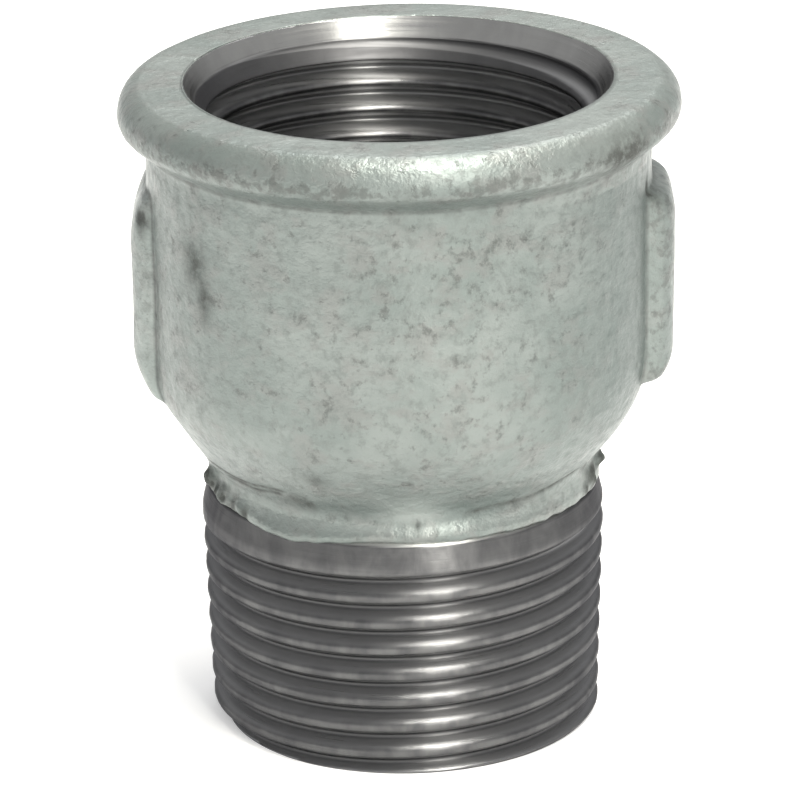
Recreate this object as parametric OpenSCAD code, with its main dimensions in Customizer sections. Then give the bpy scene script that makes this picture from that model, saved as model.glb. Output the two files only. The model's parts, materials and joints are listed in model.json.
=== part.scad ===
// Male and female pipe socket with 1 inch pipe threads, in galvanised malleable iron.
// The large end is a banded socket with a parallel inside thread. Below it the
// casting steps down, on one axis, to a spigot with a tapered outside thread.
// Units are millimetres. The axis is Z, the spigot's end face is at Z = 0 and the
// two casting ribs are on the X axis.
//
// The real fitting is one casting. The three nodes are its zinc-coated body and
// its two bare cut threads, which touch face to face.

/* [Pipe thread] */
// Diameter over the outside thread at the gauge plane
thread_d = 33.249; // [33.1:0.001:33.4]
// Distance from one thread to the next
thread_pitch = 2.309; // [2.2:0.001:2.4]
// Height of the thread from root to crest
thread_depth = 1.479; // [1.35:0.001:1.55]
// Length over which the tapered thread gains one millimetre in diameter
taper_length = 16; // [12:1:24]
// Distance of the gauge plane from the spigot's end
gauge_z = 10.4; // [9:0.1:12]

/* [Overall] */
// Height from end to end
total_h = 55; // [54:0.5:60]
// Diameter of the water way through the spigot
bore_d = 25.6; // [24:0.2:26.4]

/* [Socket] */
// Diameter of the plain barrel
barrel_d = 41.4; // [40.4:0.2:43]
// Diameter over the banded rim
rim_d = 46; // [45.6:0.2:49]
// Radius of the rim's rounded section
rim_round = 2.6; // [2:0.1:2.8]
// Radius of the hollow between the rim and the barrel
rim_fillet = 1.6; // [1:0.2:4]
// Diameter of the mouth at the rim's face
mouth_d = 35.2; // [35:0.1:36]
// Depth of the countersink in the mouth
mouth_depth = 1.74; // [1.2:0.02:2]
// Number of crests on the inside thread
socket_crests = 8; // [6:1:8]

/* [Shoulder] */
// Diameter of the neck, where the zinc meets the spigot's collar
neck_d = 32; // [31.6:0.1:32.6]
// Height where the zinc coating ends and the cut metal starts
neck_z = 20.6; // [20.2:0.1:21]
// Height of the plain neck above the cut metal
neck_h = 1.4; // [1:0.1:1.8]
// Slope of the shoulder, in degrees from the axis
shoulder_angle = 37; // [34:1:40]
// Radius of the bend between the shoulder and the barrel
shoulder_round = 9; // [5:0.5:10]
// Radius of the bend between the neck and the shoulder
neck_fillet = 2.4; // [2:0.2:3]

/* [Ribs] */
// Distance over the two casting ribs
rib_span = 44.6; // [43.6:0.2:46]
// Width of a rib
rib_w = 10.8; // [9:0.2:12]
// Height of a rib's lower end
rib_low_z = 29.4; // [28.6:0.2:30.4]
// Height of a rib's upper end
rib_high_z = 46.4; // [45.4:0.2:47.6]
// Radius of a rib's rounded outer edges
rib_edge_r = 3.2; // [1:0.2:4]

/* [Spigot] */
// Height of the lowest thread root
first_root_z = 0.8; // [0.7:0.05:0.9]
// Number of roots on the outside thread
spigot_roots = 8; // [6:1:8]

/* [Hidden] */
$fn = 96;

ZINC = [0.70, 0.73, 0.70];
CUT_METAL = [0.40, 0.40, 0.41];

// Half the width of a crest or root flat, and the height of a sloping flank.
half_flat = thread_pitch / 12;
flank_h = thread_pitch / 2 - 2 * half_flat;

gauge_r = thread_d / 2;
bore_r = bore_d / 2;
barrel_r = barrel_d / 2;
neck_r = neck_d / 2;

// The inside thread is parallel: its root has the gauge plane's radius.
socket_root_r = gauge_r;
socket_crest_r = gauge_r - thread_depth;
seat_r = mouth_d / 2;
mouth_z = total_h - mouth_depth;
crest_1_z = mouth_z - 3 * half_flat - flank_h;
seat_land = 0.55;
seat_z = crest_1_z - (socket_crests - 1) * thread_pitch - seat_land;

// The cored hollow below the inside thread, and the cone that leads to the bore.
hollow_relief = 0.25;
hollow_rise = 6.5;
cone_rise = 2.3;
hollow_r = socket_crest_r + hollow_relief;
hollow_z = neck_z + hollow_rise;
cone_low_z = neck_z + cone_rise;

// The rim's round and the hollow below it touch at this angle below level.
rim_c = [rim_d / 2 - rim_round, total_h - rim_round];
rim_gap_x = barrel_r + rim_fillet - rim_c[0];
rim_touch = acos(rim_gap_x / (rim_round + rim_fillet));
rim_hollow_c = [barrel_r + rim_fillet, rim_c[1] - (rim_round + rim_fillet) * sin(rim_touch)];

// The shoulder is a cone between a hollow at the neck and a round at the barrel.
neck_c = [neck_r + neck_fillet, neck_z + neck_h];
cone_low_r = neck_c[0] - neck_fillet * cos(shoulder_angle);
cone_high_r = barrel_r - shoulder_round * (1 - cos(shoulder_angle));
cone_h = (cone_high_r - cone_low_r) / tan(shoulder_angle);
shoulder_c = [
    barrel_r - shoulder_round,
    neck_c[1] + (neck_fillet + shoulder_round) * sin(shoulder_angle) + cone_h
];

// A rib is rooted half way into the wall and both its ends slope.
rib_root_x = (barrel_r + seat_r) / 2;
rib_foot_depth = 0.4;
rib_foot_h = 1.6;
rib_head_h = 1.5;
rib_head_slope = 1.1;
rib_cut_margin = 1;

// The spigot's end face cuts the thread's lowest flank, and that edge is broken.
flank_slope = thread_depth / flank_h;
end_root_r = gauge_r - thread_depth + (first_root_z - gauge_z) / (2 * taper_length);
end_break = 0.2;
end_edge_r = end_root_r + (first_root_z - half_flat) * flank_slope - end_break;
bore_break = 0.4;

// Points on an arc round c, from angle a0 to angle a1, in n steps.
function arc(c, r, a0, a1, n = 10) =
    [for (i = [0:n]) let (a = a0 + (a1 - a0) * i / n) c + r * [cos(a), sin(a)]];

// Crest radius of the tapered thread at height z.
function taper_crest_r(z) = gauge_r + (z - gauge_z) / (2 * taper_length);

// The flat of one crest or root at height z, from low to high.
function flat(r, z) = [[r, z - half_flat], [r, z + half_flat]];

// Section of the zinc-coated body, from its inner lower corner round the outside.
function body_section() = concat(
    [[bore_r, neck_z], [neck_r, neck_z]],
    arc(neck_c, neck_fillet, 180, 180 - shoulder_angle),
    arc(shoulder_c, shoulder_round, -shoulder_angle, 0),
    arc(rim_hollow_c, rim_fillet, 180, 180 - rim_touch),
    arc(rim_c, rim_round, -rim_touch, 90, 20),
    [[seat_r, total_h], [seat_r, seat_z], [hollow_r, seat_z]],
    [[hollow_r, hollow_z], [bore_r, cone_low_z]]
);

// Section of the ring that holds the inside thread, from its lower outer corner.
function socket_thread_section() = concat(
    [[seat_r, seat_z], [socket_crest_r, seat_z]],
    [for (i = [socket_crests - 1:-1:0])
        let (z = crest_1_z - i * thread_pitch)
        each concat(
            i == socket_crests - 1
                ? [[socket_crest_r, z + half_flat]]
                : flat(socket_crest_r, z),
            i == 0 ? [] : flat(socket_root_r, z + thread_pitch / 2)
        )
    ],
    [[socket_root_r, mouth_z - 2 * half_flat], [socket_root_r, mouth_z]],
    [[seat_r, total_h]]
);

// Section of the spigot, from its inner upper corner down the bore and up outside.
function spigot_section() = concat(
    [[bore_r, neck_z], [bore_r, bore_break], [bore_r + bore_break, 0]],
    [[end_edge_r, 0], [end_edge_r, end_break / flank_slope]],
    [for (i = [0:spigot_roots - 1])
        let (z = first_root_z + i * thread_pitch, crest_z = z + thread_pitch / 2)
        each concat(
            flat(taper_crest_r(z) - thread_depth, z),
            i == spigot_roots - 1 ? [] : flat(taper_crest_r(crest_z), crest_z)
        )
    ],
    collar_section()
);

// The plain collar above the last root, which tapers in to the neck.
function collar_section() =
    let (
        root_z = first_root_z + (spigot_roots - 1) * thread_pitch,
        collar_r = taper_crest_r(root_z + thread_pitch / 2)
    )
    [[collar_r, root_z + half_flat + flank_h], [neck_r, neck_z]];

// Side view of a rib: upright outer face, sloping ends.
module rib_side() {
    rib_x = rib_span / 2;
    polygon([
        [rib_root_x, rib_low_z],
        [barrel_r - rib_foot_depth, rib_low_z],
        [rib_x, rib_low_z + rib_foot_h],
        [rib_x, rib_high_z - rib_head_h],
        [rib_x - rib_head_slope, rib_high_z],
        [rib_root_x, rib_high_z]
    ]);
}

// Plan of a rib, with rounded outer corners.
module rib_plan() {
    corner_x = rib_span / 2 - rib_edge_r;
    corner_y = rib_w / 2 - rib_edge_r;
    translate([0, -rib_w / 2]) square([corner_x, rib_w]);
    translate([corner_x, -corner_y]) square([rib_edge_r, 2 * corner_y]);
    for (side = [-1, 1])
        translate([corner_x, side * corner_y]) circle(r = rib_edge_r, $fn = 32);
}

// One casting rib, on the +X side.
module rib() {
    intersection() {
        translate([0, rib_w / 2 + rib_cut_margin, 0])
            rotate([90, 0, 0])
                linear_extrude(height = rib_w + 2 * rib_cut_margin) rib_side();
        linear_extrude(height = total_h) rib_plan();
    }
}

// The zinc-coated casting: rim, barrel, shoulder and two ribs.
module socket_body() {
    color(ZINC) union() {
        rotate_extrude() polygon(body_section());
        for (turn = [0, 180]) rotate([0, 0, turn]) rib();
    }
}

// The bare ring with the inside thread and the countersunk mouth. Each turn of
// the thread is drawn as a ring of the true pitch, depth and flank angle.
module female_thread() {
    color(CUT_METAL) rotate_extrude() polygon(socket_thread_section());
}

// The bare spigot with the tapered outside thread, drawn as rings in the same way.
module male_spigot() {
    color(CUT_METAL) rotate_extrude() polygon(spigot_section());
}

socket_body();
female_thread();
male_spigot();
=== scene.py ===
import json
import math

import bmesh
import bpy
import numpy as np
from mathutils import Matrix, Vector, noise


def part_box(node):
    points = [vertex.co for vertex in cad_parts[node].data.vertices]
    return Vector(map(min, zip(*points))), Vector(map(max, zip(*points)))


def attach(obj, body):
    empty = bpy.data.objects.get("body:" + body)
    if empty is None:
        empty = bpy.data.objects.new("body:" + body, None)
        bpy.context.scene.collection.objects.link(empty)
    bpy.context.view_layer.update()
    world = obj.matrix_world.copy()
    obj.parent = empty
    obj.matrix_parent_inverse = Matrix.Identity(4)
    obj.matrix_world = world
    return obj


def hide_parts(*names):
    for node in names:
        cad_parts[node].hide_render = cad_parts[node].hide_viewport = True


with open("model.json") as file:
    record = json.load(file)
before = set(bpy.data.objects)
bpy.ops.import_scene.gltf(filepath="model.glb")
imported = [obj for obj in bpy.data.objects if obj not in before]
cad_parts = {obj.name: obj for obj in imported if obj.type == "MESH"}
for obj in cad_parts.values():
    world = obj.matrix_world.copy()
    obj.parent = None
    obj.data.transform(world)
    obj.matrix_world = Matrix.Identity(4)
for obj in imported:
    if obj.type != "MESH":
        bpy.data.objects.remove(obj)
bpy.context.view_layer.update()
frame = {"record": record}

# ---------------------------------------------------------------- sizes, in millimetres
MM = 0.001
mounts = {mount["name"]: mount for mount in frame["record"]["mounts"]}


def box_mm(node):
    """Lowest and highest corner of a CAD node, in millimetres."""
    low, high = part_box(node)
    return low / MM, high / MM


body_low, body_high = box_mm("socket_body")
ring_low, ring_high = box_mm("female_thread")

TOP_Z = body_high.z
NECK_Z = body_low.z
RIM_R = body_high.y
SEAT_R = ring_high.x
SEAT_Z = ring_low.z

# The pipe thread, ISO 7 size 1: 11 turns an inch, 55 degree flanks, rounded crests.
PITCH = 25.4 / 11
FLANK = math.radians(27.5)
THREAD_DEPTH = 0.640327 * PITCH
THREAD_ROUND = 0.137329 * PITCH
MINOR_R = mounts["socket_thread"]["dims"]["r_mm"]
MAJOR_R = mounts["spigot_thread"]["dims"]["r_mm"]
GAUGE_Z = mounts["spigot_thread"]["pos_m"][2] / MM
TAPER = 1 / 32

# The casting's outline.
BORE_R = 12.8
HOLLOW_R = 15.4
HOLLOW_Z = NECK_Z + 6.5
CONE_Z = NECK_Z + 2.3
BARREL_R = 20.68
NECK_R = 15.95
RIM_TILT = 0.007

# Directions round the axis, in degrees from +X; the front is -Y.
FRONT = -90.0
TURN = 2 * math.pi


# ---------------------------------------------------------------- small maths
def smooth_step(low, high, value):
    """0 below low, 1 above high and an S curve between."""
    t = np.clip((value - low) / (high - low), 0, 1)
    return t * t * (3 - 2 * t)


def smooth_max(a, b, blend):
    """The larger of a and b, rounded where they cross."""
    gap = np.clip(0.5 + 0.5 * (a - b) / blend, 0, 1)
    return b + (a - b) * gap + blend * gap * (1 - gap)


def smooth_min(a, b, blend):
    return -smooth_max(-a, -b, blend)


def bell(value, centre, width):
    """1 at the centre, falling off on both sides like a bell."""
    return np.exp(-(((value - centre) / width) ** 2))


def angle_gap(theta, degrees):
    """Signed angle from a direction, in degrees, from -180 to 180."""
    return (np.degrees(theta) - degrees + 180) % 360 - 180


def hump(theta, degrees, half_width):
    """1 at a direction round the axis, falling to 0 at half_width degrees from it."""
    return 1 - smooth_step(0, half_width, np.abs(angle_gap(theta, degrees)))


def field(x, y, z, size, seed, stretch=1.0):
    """Smooth noise from -1 to 1 with features of the given size in millimetres."""
    flat = np.stack([np.ravel(a) for a in np.broadcast_arrays(x, y, z)], 1) / size
    flat[:, 2] *= stretch
    flat += seed * 17.3
    values = np.array([noise.noise(Vector(point)) for point in flat])
    return values.reshape(np.broadcast(x, y, z).shape)


def rounded(corners, steps=8):
    """An outline through (r, z, radius) corners, with an arc at each corner."""
    points = [np.array(corners[0][:2], float)]
    for before, here, after in zip(corners, corners[1:], corners[2:]):
        corner = np.array(here[:2], float)
        back = np.array(before[:2], float) - corner
        ahead = np.array(after[:2], float) - corner
        back /= np.linalg.norm(back)
        ahead /= np.linalg.norm(ahead)
        half = math.acos(np.clip(back @ ahead, -1, 1)) / 2
        reach = here[2] / math.tan(half)
        centre = corner + (back + ahead) / np.linalg.norm(back + ahead) * here[2] / math.sin(half)
        start = corner + back * reach - centre
        end = corner + ahead * reach - centre
        sweep = math.atan2(start[0] * end[1] - start[1] * end[0], start @ end)
        for k in range(steps + 1):
            c, s = math.cos(sweep * k / steps), math.sin(sweep * k / steps)
            turned = [c * start[0] - s * start[1], s * start[0] + c * start[1]]
            points.append(centre + np.array(turned))
    points.append(np.array(corners[-1][:2], float))
    return np.array(points)


def resampled(points, count):
    """The outline at count points, evenly spaced along it."""
    steps = np.linalg.norm(np.diff(points, axis=0), axis=1)
    along = np.concatenate([[0], np.cumsum(steps)])
    even = np.linspace(0, along[-1], count)
    return np.stack([np.interp(even, along, points[:, 0]), np.interp(even, along, points[:, 1])], 1)


# ---------------------------------------------------------------- meshes
def grid_mesh(name, radius, theta, height):
    """A piece from a grid of points: its rows run round a closed outline, its columns round the axis."""
    rows, columns = radius.shape
    points = np.stack([radius * np.cos(theta), radius * np.sin(theta), height], 2).reshape(-1, 3)
    row, column = np.meshgrid(np.arange(rows), np.arange(columns - 1), indexing="ij")
    here = (row * columns + column).ravel()
    above = ((row + 1) % rows * columns + column).ravel()
    faces = np.stack([here, here + 1, above + 1, above], 1)
    mesh = bpy.data.meshes.new(name)
    mesh.from_pydata((points * MM).tolist(), [], faces.tolist())
    piece = bpy.data.objects.new(name, mesh)
    bpy.context.scene.collection.objects.link(piece)
    return piece


def add_attribute(piece, name, values):
    """Keeps one number per grid point for the materials."""
    attribute = piece.data.attributes.new(name, "FLOAT", "POINT")
    attribute.data.foreach_set("value", np.ravel(values).astype(np.float32))


WELD_GAP = 0.004 * MM


def weld(piece):
    """Joins the grid's seam and its collapsed rows, and turns the faces outward."""
    shape = bmesh.new()
    shape.from_mesh(piece.data)
    bmesh.ops.remove_doubles(shape, verts=shape.verts, dist=WELD_GAP)
    bmesh.ops.dissolve_degenerate(shape, edges=shape.edges, dist=WELD_GAP)
    bmesh.ops.recalc_face_normals(shape, faces=shape.faces)
    shape.to_mesh(piece.data)
    shape.free()
    for polygon in piece.data.polygons:
        polygon.use_smooth = True


# ---------------------------------------------------------------- threads
def groove_depth(offset):
    """Depth below the crest at an axial distance from the crest's centre, for the 55 degree form."""
    reach = np.abs((offset + PITCH / 2) % PITCH - PITCH / 2)
    arc = THREAD_ROUND * math.cos(FLANK)
    lift = THREAD_ROUND - THREAD_ROUND * math.sin(FLANK)
    on_crest = THREAD_ROUND - np.sqrt(np.clip(THREAD_ROUND**2 - reach**2, 0, None))
    from_root = PITCH / 2 - reach
    on_root = THREAD_DEPTH - THREAD_ROUND + np.sqrt(np.clip(THREAD_ROUND**2 - from_root**2, 0, None))
    slope = (THREAD_DEPTH - 2 * lift) / (PITCH / 2 - 2 * arc)
    on_flank = lift + (reach - arc) * slope
    return np.where(reach < arc, on_crest, np.where(from_root < arc, on_root, on_flank))


THREAD_COLUMNS = 360
ROWS_PER_PITCH = 20


def helix_grid(low_z, high_z):
    """Angles and heights of a grid whose rows follow a right-hand helix, clamped at both ends."""
    theta = np.linspace(0, TURN, THREAD_COLUMNS + 1)
    count = int((high_z - low_z + PITCH) / PITCH * ROWS_PER_PITCH) + 2
    rows = low_z - PITCH + np.arange(count)[:, None] * PITCH / ROWS_PER_PITCH
    height = np.clip(rows + PITCH * theta[None] / TURN, low_z, high_z)
    return np.broadcast_to(theta[None], height.shape), height


def thread_piece(name, theta, z, radius, looks, closing, closing_groove):
    """A thread's piece: its helix grid, then the plain (r, z) corners that close its section."""
    one = np.ones((1, theta.shape[1]))
    radius = np.vstack([radius] + [r * one for r, _ in closing])
    z = np.vstack([z] + [height * one for _, height in closing])
    theta = np.broadcast_to(theta[:1], radius.shape)
    piece = grid_mesh(name, radius, theta, z)
    for look, values in looks.items():
        plain = closing_groove if look == "groove" else 0.0
        add_attribute(piece, look, np.vstack([values] + [plain * one for _ in closing]))
    weld(piece)
    return piece


# The outside thread: the height of its lowest root at the front, how worn its crests are, the heights
# between which it runs out, its plain collar with a small ledge at the zinc, and the cone at its end.
MALE_ROOT_FRONT_Z = 0.8
WORN = 0.005
WORN_FLAT = 0.25
WORN_ROUND = 0.6
CREST_ROUGHNESS = 0.03
RUN_OUT_Z = (17.0, 18.6)
COLLAR_START_Z = 17.9
COLLAR_SLOPE = 0.27
COLLAR_FRONT_SLOPE = 0.17
COLLAR_BLEND = 0.12
LEDGE_Z = 20.25
LEDGE_SLOPE = 1.15
LEDGE_BLEND = 0.05
END_R = 15.85
END_SLOPE = 0.8
END_BLEND = 0.1
OFF_CENTRE = 0.09
SCORED_AND_SHADE_Z = (18.2, 18.8)
# The rounded edge of the bore, at its ends and half way, and two points across the end's face.
BORE_BREAK = 0.5
BORE_BREAK_MIDDLE = 0.12
END_FACE_R = (14.4, 15.0)


def male_surface(theta, z):
    """Radius of the tapered outside thread with its worn crests, run-out, collar and end."""
    taper_r = MAJOR_R + (z - GAUGE_Z) * TAPER
    front_turn = (theta - math.radians(FRONT)) / TURN
    root_z = MALE_ROOT_FRONT_Z + PITCH * front_turn
    groove_z = root_z + np.round((z - root_z) / PITCH) * PITCH
    cut = 1 - smooth_step(*RUN_OUT_Z, groove_z)
    depth = groove_depth(z - root_z - PITCH / 2)
    radius = taper_r - WORN - smooth_max(depth * cut - WORN_FLAT, 0, WORN_ROUND)
    front = hump(theta, FRONT + 8, 60)
    slope = COLLAR_SLOPE + (COLLAR_FRONT_SLOPE - COLLAR_SLOPE) * front
    collar_r = taper_r - WORN - slope * np.clip(z - COLLAR_START_Z, 0, None)
    radius = smooth_min(radius, collar_r, COLLAR_BLEND)
    radius = smooth_min(radius, collar_r - LEDGE_SLOPE * (z - LEDGE_Z), LEDGE_BLEND)
    radius = smooth_min(radius, END_R + END_SLOPE * z, END_BLEND)
    crest = 1 - smooth_step(0.1, 0.35, depth * cut)
    x, y = np.cos(theta) * MAJOR_R, np.sin(theta) * MAJOR_R
    radius = radius - crest * CREST_ROUGHNESS * (1 + field(x, y, z, 0.9, 7))
    radius = radius - OFF_CENTRE * np.cos(theta) * smooth_step(0, 4, z)
    looks = {
        "groove": depth / THREAD_DEPTH * cut,
        # A polished ledge at the zinc, with a painted highlight at the front.
        "polish_and_highlight": front * smooth_step(LEDGE_Z - 0.02, LEDGE_Z + 0.08, z),
        # Scoring on the collar, with painted shade on its sides away from the front.
        "scored_and_shade": 0.45 * smooth_step(*SCORED_AND_SHADE_Z, z) * (1 - hump(theta, FRONT + 5, 30)),
    }
    return radius, looks


def make_male_thread():
    theta, z = helix_grid(0.0, NECK_Z)
    radius, looks = male_surface(theta, z)
    inner_r, outer_r = END_FACE_R
    closing = [(outer_r, NECK_Z), (BORE_R, NECK_Z), (BORE_R, NECK_Z / 2), (BORE_R, BORE_BREAK),
               (BORE_R + BORE_BREAK_MIDDLE, BORE_BREAK_MIDDLE), (BORE_R + BORE_BREAK, 0.0),
               (inner_r, 0.0), (outer_r, 0.0)]
    return thread_piece("male_thread", theta, z, radius, looks, closing, 0.3)


# The inside thread: the height of its top crest at the back, and the countersink's two slopes.
FEMALE_CREST_BACK_Z = TOP_Z - 3.08
SINK_SLOPE = 0.56
SINK_DEPTH = 1.74
SINK_INNER_SLOPE = 0.85


def mouth_edge_z(theta):
    """Height of the edge between the rim's face and the countersink; the cast face isn't quite flat."""
    x, y = np.cos(theta) * SEAT_R, np.sin(theta) * SEAT_R
    return TOP_Z - 0.15 - 0.05 * field(x, y, 0 * x, 7.0, 3) + RIM_TILT * x


def sink_radius(z):
    """Radius of the countersink cut at a height."""
    down = TOP_Z - z
    steep = SINK_INNER_SLOPE * np.clip(down - SINK_DEPTH, 0, None)
    return SEAT_R - SINK_SLOPE * np.minimum(down, SINK_DEPTH) - steep


def make_female_thread():
    theta, z = helix_grid(SEAT_Z, TOP_Z)
    edge_z = mouth_edge_z(theta[:1])
    z = np.minimum(z, edge_z)
    crest_z = FEMALE_CREST_BACK_Z + PITCH * (theta - math.pi / 2) / TURN
    depth = groove_depth(z - crest_z)
    radius = MINOR_R + depth
    in_sink = smooth_step(-0.05, 0.12, sink_radius(z) - radius)
    lead_in = in_sink * smooth_step(TOP_Z - SINK_DEPTH, TOP_Z - SINK_DEPTH - 0.15, z)
    looks = {
        "groove": depth * (1 - in_sink) / THREAD_DEPTH,
        # The countersink painted brighter, as polish and partly as a painted highlight.
        "polish_and_highlight": 0.33 * (in_sink - lead_in),
        # The lead-in and the band under the countersink painted darker and rougher, as scoring and partly
        # as painted shade.
        "scored_and_shade": lead_in + smooth_step(TOP_Z - 3.2, TOP_Z - 2.6, z) * (1 - in_sink),
    }
    radius = smooth_max(radius, sink_radius(z), 0.06)
    radius[-1] = sink_radius(edge_z)[0]
    outer_r = SEAT_R + 0.15
    closing = [(outer_r, TOP_Z - 0.6), (outer_r, (TOP_Z + SEAT_Z) / 2), (outer_r, SEAT_Z),
               (HOLLOW_R, SEAT_Z)]
    return thread_piece("female_thread_helix", theta, z, radius, looks, closing, 0.5)


# ---------------------------------------------------------------- the casting
RIM_DROP = 0.1
RIM_OFF_CENTRE = 0.10
RIM_FADE_Z = (47.5, 51)
BEAD_LINE_Z = 50.2
BARREL_LOW_Z = 36
UNDERSIDE_R = 15.0

# The casting's grid: columns round it, and rows up to the barrel, over the rim and down the inside.
CASTING_COLUMNS = 360
LOW_ROWS, RIM_ROWS, INSIDE_ROWS = 106, 112, 36
# Columns crowd together at a rib's side: its angle from the X axis, the spread, and how much closer.
RIB_SIDE_ANGLE, RIB_SIDE_SPREAD, RIB_SIDE_CROWD = 16.0, 4.5, 3.0

# The ribs: the heights and the radius they stay within, and how far their edges and feet are rounded.
RIB_LOW_Z, RIB_HIGH_Z = 28.2, 48.2
RIB_LIMIT_R = 25.0
RIB_EDGE_BLEND = 3.5
RIB_FOOT_BLEND = 0.35
RIB_MID_Z = 38
HALVINGS = 26
# Each rib's outer face, and the planes that end it: a point's x and z, the normal's x and z, the blend.
LEFT_RIB = {"side": -1, "face_x": 22.04, "lean": 0.0, "half_w": 5.4, "ends": (
    (20.9, 46.4, 0.90, 0.43, 1.0), (20.9, 46.7, 0.0, 1.0, 0.8),
    (22.04, 31.0, 0.82, -0.57, 1.2), (21.0, 28.7, 0.0, -1.0, 0.6))}
RIGHT_RIB = {"side": 1, "face_x": 22.42, "lean": 0.012, "half_w": 5.8, "ends": (
    (21.2, 46.6, 0.55, 0.83, 1.6), (21.0, 46.4, 0.0, 1.0, 1.0),
    (22.42, 31.0, 0.70, -0.70, 1.2), (21.0, 29.9, 0.0, -1.0, 0.6))}

# Burrs, pits and stains, and patches of painted shade: direction, height, half width, half height, bulge,
# darkness.
MARKS = (
    (-165, 21.9, 0.80, 0.85, 0.90, 0.95),
    (-168, 22.3, 0.28, 0.30, -0.15, 0.90),
    (-163, 21.6, 0.25, 0.25, -0.20, 0.90),
    (-159, 21.4, 0.45, 0.50, 0.40, 0.90),
    (-155, 21.3, 0.85, 0.85, 0.55, 0.50),
    (-154.5, 21.2, 0.38, 0.38, -0.45, 1.00),
    (-149, 21.0, 0.30, 0.60, 0.10, 0.70),
    (-145, 21.3, 0.65, 0.55, 0.30, 0.20),
    (-142.5, 20.9, 0.22, 0.40, -0.10, 1.00),
    (-11, 22.6, 0.80, 0.70, 0.80, 1.00),
    (-18, 22.0, 0.60, 0.85, 0.60, 1.00),
    (-22.5, 21.2, 0.28, 0.50, 0.15, 0.90),
    (-120, 23.8, 0.75, 0.60, -0.10, 0.65),
    (-117.5, 23.4, 0.35, 0.40, -0.10, 0.80),
    (-112, 26.4, 0.85, 0.55, 0.0, 0.45),
    (-86.5, 21.9, 0.16, 0.30, 0.0, 0.70),
    (-168, 44.5, 0.55, 0.80, -0.10, 0.85),
    # Painted shade in the recess at the top of the right rib.
    (-14.5, 46.6, 0.40, 0.90, -0.12, 0.85),
    (-143, 43.3, 1.00, 1.60, 0.0, 0.60),
    (-139.5, 40.6, 0.55, 1.40, 0.0, 0.60),
    # Painted shade on the right of the rim.
    (-38, 52.3, 2.60, 1.30, 0.0, 0.72),
)
# Above this height a mark only darkens the colour.
MARKS_TOP_Z = 49
# Creases in the zinc: the line's start, then its end, each as direction and height.
CREASES = ((-160, 24.0, -122, 24.25), (-150, 23.5, -124, 23.9), (-74, 22.5, -28, 23.6))
# The creases' half width and depth, and how dark they are painted as shade in the crease.
CREASE_HALF_W, CREASE_DEPTH, CREASE_SHADE = 0.22, 0.12, 0.65

# The neck at the front: its half width in degrees, then the zinc's thick lip and the dip above it,
# each as height, half height and depth.
NECK_HALF_W = 80
LIP_Z, LIP_HALF_H, LIP_RISE = 21.1, 0.42, 0.18
DIP_Z, DIP_HALF_H, DIP_DEPTH = 22.6, 0.7, 0.12

# The zinc's ragged lower edge: the heights and radii over which it fades, and the direction and half
# width of a thick run.
RAGGED_Z, RAGGED_R = (22.0, 20.9), (15.1, 15.7)
RUN = (FRONT - 36, 26)

# The heights over which the cast unevenness fades in, and over which the rim's flat face starts.
CAST_Z = (21.5, 23.5)
FLAT_TOP_Z = (TOP_Z - 0.6, TOP_Z - 0.05)

# Places that catch the light: direction, half width in degrees, height, half height.
NECK_SHINE = (FRONT + 3, 15, 23.3, 1.5)
LIP_SHINE = (FRONT, NECK_HALF_W, 21.65, 0.4)
BEAD_SHINE = (FRONT + 3, 60, 53.6, 0.6)
# The wrinkled patch under the rim: direction, half width, and the heights where it starts and ends.
WRINKLED = (FRONT + 16, 48)
WRINKLED_LOW_Z, WRINKLED_HIGH_Z = (35, 42), (49, 46)

# Bands round the outside: what each changes, its height, half height, share and least radius.
BANDS = (
    # Painted shade in the crease under the bead.
    ("stain_and_shade", BEAD_LINE_Z, 0.22, 0.42, 0.0),
    ("grime", 52.45, 0.8, 1.0, BARREL_R + 0.5),
    # Painted shade under the bead.
    ("painted_shade", 50.9, 0.7, 0.45, 0.0),
)
# Patches on the barrel: what each changes, direction, half width in degrees, its z from and to, share.
PATCHES = (
    ("pale_and_highlight", FRONT - 38, 42, 24, 50, 0.13),
    # Painted shade on the barrel's sides, which face away from the light.
    ("painted_shade", FRONT - 62, 30, 24, 49, 0.12),
    ("painted_shade", FRONT + 63, 36, 24, 49, 0.85),
    ("streak", FRONT + 62, 22, 30, 48, 1.0),
)


def casting_columns():
    """Angles round the casting, closer together at the ribs' sides."""
    even = np.linspace(0, 360, 8 * CASTING_COLUMNS + 1)
    right_gap = np.abs(angle_gap(np.radians(even), 0))
    left_gap = np.abs(angle_gap(np.radians(even), 180))
    from_rib = np.minimum(right_gap, left_gap)
    density = 1 + RIB_SIDE_CROWD * bell(from_rib, RIB_SIDE_ANGLE, RIB_SIDE_SPREAD)
    along = np.concatenate([[0], np.cumsum((density[1:] + density[:-1]) / 2)])
    return np.radians(np.interp(np.linspace(0, along[-1], CASTING_COLUMNS + 1), along, even))


def skin_outline(shoulder, neck):
    """Outside of the casting from the zinc's lower edge to the barrel, for one side's shoulder."""
    lip_r = NECK_R + 0.3
    low = rounded([(UNDERSIDE_R, NECK_Z, 0), (lip_r, NECK_Z, 0.12), (lip_r, NECK_Z + 0.6, 0.5), neck,
                   shoulder, (BARREL_R, BARREL_LOW_Z, 0)])
    return resampled(low, LOW_ROWS)


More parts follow.
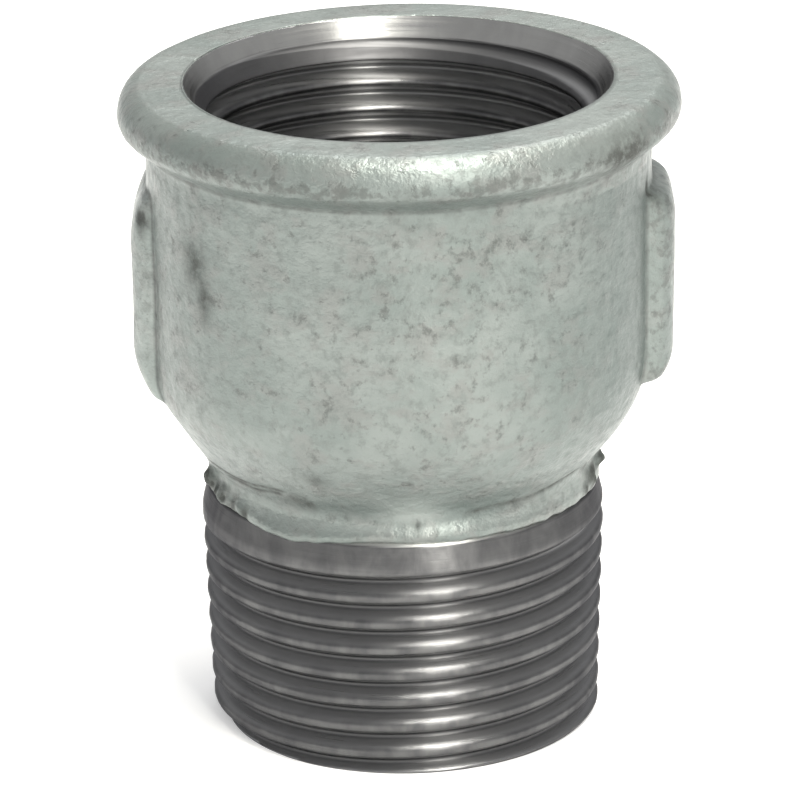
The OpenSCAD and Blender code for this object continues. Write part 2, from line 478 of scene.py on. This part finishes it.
def casting_outline():
    """Rows of (left r, left z, right r, right z) round the section, and how many are the outside."""
    left = skin_outline((BARREL_R, 29.35, 6.9), (NECK_R, 22.3, 2.5))
    right = skin_outline((BARREL_R, 28.6, 13.0), (NECK_R + 0.05, 23.1, 2.0))
    rim = rounded([(BARREL_R, BARREL_LOW_Z, 0), (BARREL_R, BEAD_LINE_Z, 1.0), (RIM_R, 51.95, 1.45),
                   (RIM_R, TOP_Z, 2.3), (SEAT_R + 0.3, TOP_Z, 0)])
    rim = resampled(rim, RIM_ROWS)[1:]
    inside = rounded([(SEAT_R, TOP_Z - 0.25, 0), (SEAT_R, SEAT_Z, 0), (HOLLOW_R, SEAT_Z, 0.0),
                      (HOLLOW_R, HOLLOW_Z, 2.0), (BORE_R, CONE_Z, 1.5), (BORE_R, NECK_Z, 0)])
    inside = resampled(inside, INSIDE_ROWS)
    edge = np.array([[SEAT_R, TOP_Z]])
    shared = np.vstack([rim, edge, inside])
    rows = np.vstack([np.hstack([left, right]), np.hstack([shared, shared])])
    return rows, len(left) + len(rim)


def rib_distance(x, y, z, rib):
    """Distance outside one rib's rounded block; negative inside."""
    out = rib["side"] * x
    outer = out - rib["face_x"] - rib["lean"] * (z - RIB_MID_Z)
    distance = smooth_max(outer, np.abs(y) - rib["half_w"], RIB_EDGE_BLEND)
    for plane_x, plane_z, tilt_x, tilt_z, blend in rib["ends"]:
        distance = smooth_max(distance, (out - plane_x) * tilt_x + (z - plane_z) * tilt_z, blend)
    return distance


def with_ribs(radius, theta, z):
    """Radius of the barrel with both ribs blended on, found by halving the interval."""
    low, high = radius - 0.5, np.full_like(radius, RIB_LIMIT_R)
    for _ in range(HALVINGS):
        middle = (low + high) / 2
        x, y = middle * np.cos(theta), middle * np.sin(theta)
        rib = np.where(x > 0, rib_distance(x, y, z, RIGHT_RIB), rib_distance(x, y, z, LEFT_RIB))
        outside = smooth_min(middle - radius, rib, RIB_FOOT_BLEND) > 0
        high = np.where(outside, middle, high)
        low = np.where(outside, low, middle)
    return np.maximum(low, radius)


def with_marks(radius, theta, z):
    """Radius with burrs, pits and creases, and how dark each point is painted, by stains and by painted
    shade in the creases and the shaded patches.
    """
    bulge, stain_and_shade = np.zeros_like(radius), np.zeros_like(radius)
    for direction, height, half_w, half_h, rise, dark in MARKS:
        across = np.radians(angle_gap(theta, direction)) * radius
        spot = bell(across, 0, half_w) * bell(z, height, half_h)
        bulge += rise * spot
        stain_and_shade = np.maximum(stain_and_shade, dark * np.sqrt(spot))
    for start, start_z, end, end_z in CREASES:
        along = angle_gap(theta, start) / (end - start)
        line_z = start_z + (end_z - start_z) * along + 0.12 * np.sin(along * 9)
        line = bell(z, line_z, CREASE_HALF_W) * smooth_step(0, 0.1, along) * smooth_step(1, 0.9, along)
        bulge -= CREASE_DEPTH * line
        stain_and_shade = np.maximum(stain_and_shade, CREASE_SHADE * line)
    x, y = radius * np.cos(theta), radius * np.sin(theta)
    bulge += 0.30 * field(x, y, z, 0.55, 9) * np.clip(bulge / 0.6, 0, 1)
    return radius + bulge, stain_and_shade


def glint(theta, z, direction, half_width, height, half_height):
    """1 at a direction and a height, falling off softly round it."""
    return hump(theta, direction, half_width) * bell(z, height, half_height)


def zinc_looks(radius, theta, z, outside, rise, stain_and_shade):
    """What the zinc material reads at each point, from 0 to 1, by name. Rise is the height of a rib."""
    left_share = 0.5 - 0.5 * np.cos(theta)
    shine = glint(theta, z, *NECK_SHINE)
    lip_shine = glint(theta, z, *LIP_SHINE)
    bead_shine = glint(theta, z, *BEAD_SHINE) * (radius > BARREL_R + 0.8)
    rib_shine = smooth_step(0.08, 0.22, rise) * smooth_step(1.7, 1.1, rise) * (0.10 + 0.30 * left_share)
    hollow_shade = bell(z, 23.3, 1.3) * smooth_step(21.9, 22.4, z) * hump(theta, FRONT, 88)
    rib_foot_shade = smooth_step(0.02, 0.06, rise) * smooth_step(0.3, 0.1, rise)
    wrinkled = hump(theta, *WRINKLED) * smooth_step(*WRINKLED_LOW_Z, z) * smooth_step(*WRINKLED_HIGH_Z, z)
    barrel = rise < 0.05
    # Painted light: highlights are painted on the places that catch the light and on the ribs' faces;
    # shade is painted in the neck hollow, on the ribs' outer edges and at the ribs' feet, beside the real
    # stains.
    looks = {
        "stain_and_shade": np.maximum(stain_and_shade, 0.35 * rib_foot_shade),
        "painted_shade": np.maximum(0.75 * hollow_shade * (1 - shine), 0.30 * smooth_step(1.1, 1.6, rise)),
        "pale_and_highlight": np.maximum(rib_shine, 0.5 * np.maximum(np.maximum(shine, lip_shine), 0.52 * bead_shine)),
        "grime": np.maximum(0.55 * smooth_step(0.2, 0.5, rise), 0.27 * wrinkled * barrel),
        "streak": np.zeros_like(radius),
    }
    for look, height, half_h, share, least_r in BANDS:
        band = share * bell(z, height, half_h) * (radius > least_r)
        looks[look] = np.maximum(looks[look], band)
    for look, direction, half_w, low_z, high_z, share in PATCHES:
        patch = share * hump(theta, direction, half_w) * (z > low_z) * (z < high_z) * barrel
        looks[look] = np.maximum(looks[look], patch)
    return {look: values * outside for look, values in looks.items()}


def with_neck(radius, theta, z, outside):
    """Radius with the zinc's thick lip round the front and the dip above it."""
    front = hump(theta, FRONT, NECK_HALF_W) * outside
    lip = front * LIP_RISE * bell(z, LIP_Z, LIP_HALF_H)
    dip = front * DIP_DEPTH * bell(z, DIP_Z, DIP_HALF_H)
    return radius + lip - dip


def with_ragged_edge(radius, theta, z, x, y, outside):
    """Radius and height with the zinc's ragged lower edge and a thick run on the left of the front."""
    lip = smooth_step(*RAGGED_Z, z) * outside * smooth_step(*RAGGED_R, radius)
    run = hump(theta, *RUN)
    ragged = field(x, y, 0 * x, 1.1, 5) * 0.10 + field(x, y, 0 * x, 4.0, 6) * 0.12
    lower = z - lip * (0.10 + 0.55 * run + ragged)
    return radius + lip * (0.06 + 0.34 * run + 0.5 * ragged), lower


def with_cast_surface(radius, z, x, y, outside):
    """Radius and height with the cast unevenness of the outside and of the rim's face."""
    uneven = 0.07 * field(x, y, z, 9.0, 1) + 0.035 * field(x, y, z, 2.6, 2)
    fade = outside * smooth_step(*CAST_Z, z)
    flat_top = smooth_step(*FLAT_TOP_Z, z) * (radius < RIM_R - 2)
    radius = radius + uneven * fade * (1 - flat_top)
    return radius, z - flat_top * fade * (0.05 + 0.05 * field(x, y, 0 * z, 7.0, 3))


def make_casting():
    rows, skin_rows = casting_outline()
    row = np.arange(len(rows))[:, None]
    outside = row < skin_rows
    theta = np.broadcast_to(casting_columns()[None], (len(rows), CASTING_COLUMNS + 1))
    right = 0.5 + 0.5 * np.cos(theta)
    plain = rows[:, :1] * (1 - right) + rows[:, 2:3] * right
    z = rows[:, 1:2] * (1 - right) + rows[:, 3:4] * right

    ribbed = outside & (z > RIB_LOW_Z) & (z < RIB_HIGH_Z)
    radius = np.where(ribbed, with_ribs(plain, theta, z), plain)
    rise = radius - plain
    radius = with_neck(radius, theta, z, outside)
    marked, stain_and_shade = with_marks(radius, theta, z)
    radius = np.where(outside & (z < MARKS_TOP_Z), marked, radius)
    looks = zinc_looks(radius, theta, z, outside, rise, stain_and_shade)

    x, y = radius * np.cos(theta), radius * np.sin(theta)
    radius, z = with_ragged_edge(radius, theta, z, x, y, outside)
    radius, z = with_cast_surface(radius, z, x, y, outside)
    edge = row == skin_rows
    z = np.where(edge, mouth_edge_z(theta), z)
    radius = np.where(edge, sink_radius(z), radius)

    # The rim is a little out of square and off centre.
    rim = smooth_step(*RIM_FADE_Z, z) * outside
    radius = radius + rim * RIM_OFF_CENTRE * np.cos(theta)
    z = z + rim * (RIM_TILT * radius * np.cos(theta) - RIM_DROP)

    piece = grid_mesh("galvanised_casting", radius, theta, z)
    for look, values in looks.items():
        add_attribute(piece, look, values)
    weld(piece)
    return piece


# ---------------------------------------------------------------- materials
PALE_ZINC = (0.206, 0.229, 0.218, 1)
GREEN_ZINC = (0.161, 0.187, 0.177, 1)
PINK_ZINC = (0.180, 0.180, 0.173, 1)
DULL_ZINC = (0.140, 0.157, 0.149, 1)
DARK_ZINC = (0.055, 0.058, 0.054, 1)
# Painted shade, then pale zinc and painted highlights.
PAINTED_SHADE_ZINC = (0.092, 0.115, 0.109, 1)
PALE_AND_HIGHLIGHT_ZINC = (0.50, 0.55, 0.525, 1)
CUT_DARK = (0.092, 0.092, 0.095, 1)
CUT_PALE = (0.152, 0.152, 0.153, 1)
# Cut thread colours: the flanks' painted light, then the roots' painted shade.
SPIGOT_FLANK_PAINTED_LIGHT = (0.265, 0.266, 0.270, 1)
SPIGOT_ROOT_PAINTED_SHADE = (0.060, 0.060, 0.062, 1)
SOCKET_FLANK_PAINTED_LIGHT = (0.580, 0.582, 0.585, 1)
SOCKET_ROOT_PAINTED_SHADE = (0.120, 0.120, 0.122, 1)
POLISH_AND_HIGHLIGHT = (0.8, 0.8, 0.78, 1)
CUT_EDGE_TINT = (0.4, 0.4, 0.41, 1)
FLOOR_DULL = (0.86, 0.86, 0.86, 1)
FLOOR_PALE = (0.88, 0.88, 0.88, 1)


class Nodes:
    """Adds nodes to one material and links them in one call."""

    def __init__(self, name):
        self.material = bpy.data.materials.new(name)
        self.material.use_nodes = True
        self.tree = self.material.node_tree
        self.shader = self.tree.nodes["Principled BSDF"]

    def add(self, kind, settings=None, **inputs):
        node = self.tree.nodes.new(kind)
        for key, value in (settings or {}).items():
            setattr(node, key, value)
        for key, value in inputs.items():
            numbered = key[0] == "i" and key[1:].isdigit()
            self.put(node.inputs[int(key[1:]) if numbered else key.replace("_", " ")], value)
        return node

    def put(self, socket, value):
        if isinstance(value, bpy.types.Node):
            value = value.outputs[0]
        if isinstance(value, bpy.types.NodeSocket):
            self.tree.links.new(value, socket)
        else:
            socket.default_value = value

    def math(self, operation, a, b=0.0):
        return self.add("ShaderNodeMath", {"operation": operation}, i0=a, i1=b)

    def times(self, a, b):
        return self.math("MULTIPLY", a, b)

    def look(self, name):
        """A number from 0 to 1 that the piece's mesh holds at each point."""
        return self.add("ShaderNodeAttribute", {"attribute_name": name}).outputs["Fac"]

    def noise(self, vector, scale, detail=3.0, roughness=0.55, distortion=0.0):
        return self.add("ShaderNodeTexNoise", Vector=vector, Scale=scale, Detail=detail,
                        Roughness=roughness, Distortion=distortion)

    def stretch(self, vector, scale, offset=(0, 0, 0)):
        return self.add("ShaderNodeMapping", Vector=vector, Scale=scale, Location=offset)

    def spread(self, value, low, high, to_low, to_high):
        """Turns the range from low to high into the range from to_low to to_high."""
        return self.add("ShaderNodeMapRange", Value=value, From_Min=low, From_Max=high,
                        To_Min=to_low, To_Max=to_high)

    def ramp(self, value, low, high):
        """0 below low and 1 above high."""
        return self.add("ShaderNodeMapRange", {"interpolation_type": "SMOOTHSTEP"}, Value=value,
                        From_Min=low, From_Max=high)

    def bump(self, height, distance):
        bump = self.add("ShaderNodeBump", Height=height, Distance=distance, Strength=1.0)
        self.put(self.shader.inputs["Normal"], bump)

    def mix(self, share, a, b):
        node = self.add("ShaderNodeMix", {"data_type": "RGBA"})
        self.put(node.inputs[0], share)
        self.put(node.inputs[6], a)
        self.put(node.inputs[7], b)
        return node.outputs[2]


def zinc_material():
    """Hot-dip zinc on cast iron: pale, mottled, with dark specks and slightly pink patches, and with
    painted highlights and painted shade.
    """
    n = Nodes("galvanised_zinc")
    place = n.add("ShaderNodeTexCoord").outputs["Object"]
    wide = n.noise(n.stretch(place, (1, 1, 1), (0.9, 0.2, 0.1)), 110, 4, 0.6)
    patch = n.noise(n.stretch(place, (1, 1, 1.4), (0.3, 0.1, 0.7)), 330, 4, 0.6)
    mottle = n.noise(n.stretch(place, (1, 1, 0.9)), 1080, 4, 0.64)
    speck = n.noise(n.stretch(place, (1, 1, 0.9), (0.2, 0.5, 0.4)), 1080, 5, 0.66)
    rubbed = n.noise(n.stretch(place, (1, 1, 0.06), (0.6, 0.1, 0.2)), 1500, 3, 0.6)
    grain = n.noise(place, 6500, 2, 0.5)

    # The bare zinc: green and pale areas, pink patches, dull mottle.
    base = n.mix(n.ramp(wide, 0.36, 0.64), GREEN_ZINC, PALE_ZINC)
    base = n.mix(n.times(n.ramp(patch, 0.48, 0.64), 0.5), base, PINK_ZINC)
    base = n.mix(n.times(n.ramp(mottle, 0.47, 0.68), 0.7), base, DULL_ZINC)

    # Dark specks, which crowd together in the patches and where there is grime.
    crowd = n.math("SUBTRACT", n.spread(patch, 0.34, 0.6, 0.64, 0.515), n.times(n.look("grime"), 0.17))
    dark = n.ramp(n.math("SUBTRACT", speck, crowd), 0.0, 0.18)
    base = n.mix(n.times(dark, 0.55), base, DARK_ZINC)

    # Rubbed streaks, painted shade in the hollows, under the bead and on the barrel's sides, painted
    # highlights where the light falls, and the stains with painted shade in creases and corners.
    streaks = n.times(n.look("streak"), n.times(n.ramp(rubbed, 0.45, 0.65), 0.6))
    base = n.mix(streaks, base, DULL_ZINC)
    base = n.mix(n.times(n.look("painted_shade"), 0.85), base, PAINTED_SHADE_ZINC)
    base = n.mix(n.times(n.look("pale_and_highlight"), 0.6), base, PALE_AND_HIGHLIGHT_ZINC)
    stain_and_shade = n.look("stain_and_shade")
    blot = n.times(stain_and_shade, n.spread(speck, 0.38, 0.55, 0.65, 1.4))
    base = n.mix(n.math("MINIMUM", blot, 0.9), base, DARK_ZINC)
    base = n.mix(n.times(n.ramp(grain, 0.6, 0.75), 0.35), base, PALE_ZINC)
    n.put(n.shader.inputs["Base Color"], base)

    clean_and_unshaded = n.math("SUBTRACT", 1.0, stain_and_shade)
    n.put(n.shader.inputs["Metallic"], n.times(clean_and_unshaded, 0.5))
    n.put(n.shader.inputs["Specular IOR Level"], n.times(clean_and_unshaded, 0.5))
    rough = n.math("ADD", n.spread(mottle, 0.3, 0.7, 0.28, 0.46), n.times(stain_and_shade, 0.4))
    n.put(n.shader.inputs["Roughness"], rough)
    bumps = n.math("ADD", n.times(patch, 1.8), n.times(mottle, 0.7))
    bumps = n.math("ADD", bumps, n.times(grain, 0.10))
    bumps = n.math("SUBTRACT", bumps, n.times(dark, 0.22))
    n.bump(bumps, 0.12 * MM)
    return n.material


def cut_metal_material(name, flank_painted_light, root_painted_shade):
    """Bare cut iron: fine turning lines round the axis and grey crests, with the flanks painted brighter
    as painted light and the roots painted dark as painted shade.
    """
    n = Nodes(name)
    place = n.add("ShaderNodeTexCoord").outputs["Object"]
    x, y, z = n.add("ShaderNodeSeparateXYZ", Vector=place).outputs
    from_axis = n.math("SQRT", n.math("ADD", n.times(x, x), n.times(y, y)))
    across = n.math("SUBTRACT", z, n.times(from_axis, 0.9))
    turned = n.add("ShaderNodeCombineXYZ", X=n.times(x, 90.0), Y=n.times(y, 90.0),
                   Z=n.times(across, 9000.0))
    lines = n.noise(turned, 1.0, 4, 0.65)
    chatter = n.noise(n.stretch(place, (1, 1, 0.5)), 420, 4, 0.6, 0.4)

    groove, scored_and_shade = n.look("groove"), n.look("scored_and_shade")
    base = n.mix(n.ramp(chatter, 0.3, 0.7), CUT_DARK, CUT_PALE)
    # Painted light: the flanks are painted brighter than the crests, and the roots darker, as shade in
    # the grooves.
    base = n.mix(n.times(n.ramp(groove, 0.12, 0.5), 0.8), base, flank_painted_light)
    base = n.mix(n.times(n.ramp(groove, 0.8, 1.0), 0.75), base, root_painted_shade)
    # A polished ledge, with a painted highlight at the front of the spigot; a brighter countersink in the
    # socket.
    base = n.mix(n.look("polish_and_highlight"), base, POLISH_AND_HIGHLIGHT)
    # Scoring, with painted shade on the collar's sides and in the socket's lead-in.
    base = n.mix(n.times(scored_and_shade, 0.8), base, CUT_DARK)
    n.put(n.shader.inputs["Base Color"], base)

    n.put(n.shader.inputs["Metallic"], 1.0)
    rough = n.math("ADD", n.spread(lines, 0.3, 0.7, 0.26, 0.42), n.times(scored_and_shade, 0.22))
    n.put(n.shader.inputs["Roughness"], rough)
    n.put(n.shader.inputs["Specular Tint"], CUT_EDGE_TINT)
    n.put(n.shader.inputs["Anisotropic"], 0.75)
    n.put(n.shader.inputs["Anisotropic Rotation"], 0.25)
    round_axis = n.add("ShaderNodeTangent", {"direction_type": "RADIAL", "axis": "Z"})
    n.put(n.shader.inputs["Tangent"], round_axis)
    height = n.math("ADD", lines, n.times(chatter, 1.2))
    n.bump(height, 0.012 * MM)
    return n.material


def floor_material():
    n = Nodes("pale_floor")
    place = n.add("ShaderNodeTexCoord").outputs["Object"]
    grain = n.noise(place, 60, 2)
    n.put(n.shader.inputs["Base Color"], n.mix(grain, FLOOR_DULL, FLOOR_PALE))
    n.put(n.shader.inputs["Roughness"], 0.7)
    n.put(n.shader.inputs["Specular IOR Level"], 0.2)
    n.put(n.shader.inputs["Emission Color"], (1, 1, 1, 1))
    n.put(n.shader.inputs["Emission Strength"], 0.26)
    return n.material


# ---------------------------------------------------------------- stage, lights, camera
FLOOR_RADIUS_M = 0.9
SKY_STRENGTH = 0.66
WHITE = (1.0, 1.0, 1.0)
WARM = (1.0, 0.975, 0.90)
# Each light's name, azimuth, elevation, distance, width, height, radiance and colour, in metres.
LIGHTS = (
    ("key", 20, 24, 0.55, 0.08, 0.50, 13.5, WARM),
    ("crown", 30, 64, 0.55, 0.08, 0.36, 18.0, WARM),
    ("overhead", 90, 81, 0.55, 0.5, 0.12, 18.0, WARM),
    ("front", 0, 28, 0.75, 0.6, 0.45, 0.2, WHITE),
    ("back", 172, 48, 0.6, 0.25, 0.25, 4.0, WHITE),
)
LIGHTS_AIM_M = (0, 0, 0.03)


def make_floor():
    bpy.ops.mesh.primitive_circle_add(vertices=96, radius=FLOOR_RADIUS_M, fill_type="NGON",
                                      location=(0, 0, 0))
    floor = bpy.context.object
    floor.name = "floor"
    floor.data.materials.append(floor_material())


def soft_box(name, azimuth, elevation, distance, width, height, radiance, colour):
    """A rectangular light that faces the part. Its azimuth is 0 on the camera's side and 90 at +X."""
    a, e = math.radians(azimuth), math.radians(elevation)
    away = Vector((math.sin(a) * math.cos(e), -math.cos(a) * math.cos(e), math.sin(e)))
    data = bpy.data.lights.new(name, "AREA")
    data.shape = "RECTANGLE"
    data.size, data.size_y = width, height
    data.energy = radiance * math.pi * width * height
    data.color = colour
    lamp = bpy.data.objects.new(name, data)
    lamp.location = Vector(LIGHTS_AIM_M) + away * distance
    lamp.rotation_euler = away.to_track_quat("Z", "Y").to_euler()
    bpy.context.scene.collection.objects.link(lamp)


def make_lights():
    world = bpy.data.worlds.new("studio")
    world.use_nodes = True
    background = world.node_tree.nodes["Background"]
    background.inputs["Color"].default_value = (*WHITE, 1)
    background.inputs["Strength"].default_value = SKY_STRENGTH
    bpy.context.scene.world = world
    for light in LIGHTS:
        soft_box(*light)


CAMERA_ELEVATION = math.radians(20.42)
CAMERA_ROLL = math.radians(0.88)
CAMERA_DISTANCE = 450
AIM_X, AIM_Z = -0.213, 26.81
LENS = 243.74


def make_camera():
    data = bpy.data.cameras.new("camera")
    data.sensor_width = 36
    data.lens = LENS
    camera = bpy.data.objects.new("camera", data)
    back = Vector((0, -math.cos(CAMERA_ELEVATION), math.sin(CAMERA_ELEVATION)))
    camera.location = (Vector((AIM_X, 0, AIM_Z)) + back * CAMERA_DISTANCE) * MM
    tilt = Matrix.Rotation(math.pi / 2 - CAMERA_ELEVATION, 4, "X")
    camera.rotation_euler = (tilt @ Matrix.Rotation(-CAMERA_ROLL, 4, "Z")).to_euler()
    data.clip_start = 0.01
    bpy.context.scene.collection.objects.link(camera)
    bpy.context.scene.camera = camera


# ---------------------------------------------------------------- the scene
zinc = zinc_material()
spigot_metal = cut_metal_material("cut_iron_spigot", SPIGOT_FLANK_PAINTED_LIGHT, SPIGOT_ROOT_PAINTED_SHADE)
socket_metal = cut_metal_material("cut_iron_socket", SOCKET_FLANK_PAINTED_LIGHT, SOCKET_ROOT_PAINTED_SHADE)
for make, node, slot, material in (
    (make_casting, "socket_body", "zinc_coating", zinc),
    (make_male_thread, "male_spigot", "cut_thread", spigot_metal),
    (make_female_thread, "female_thread", "cut_thread", socket_metal),
):
    piece = make()
    piece.data.materials.append(material)
    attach(piece, "root")
    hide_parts(node)

make_floor()
make_lights()
make_camera()
bpy.context.scene.view_settings.view_transform = "Standard"
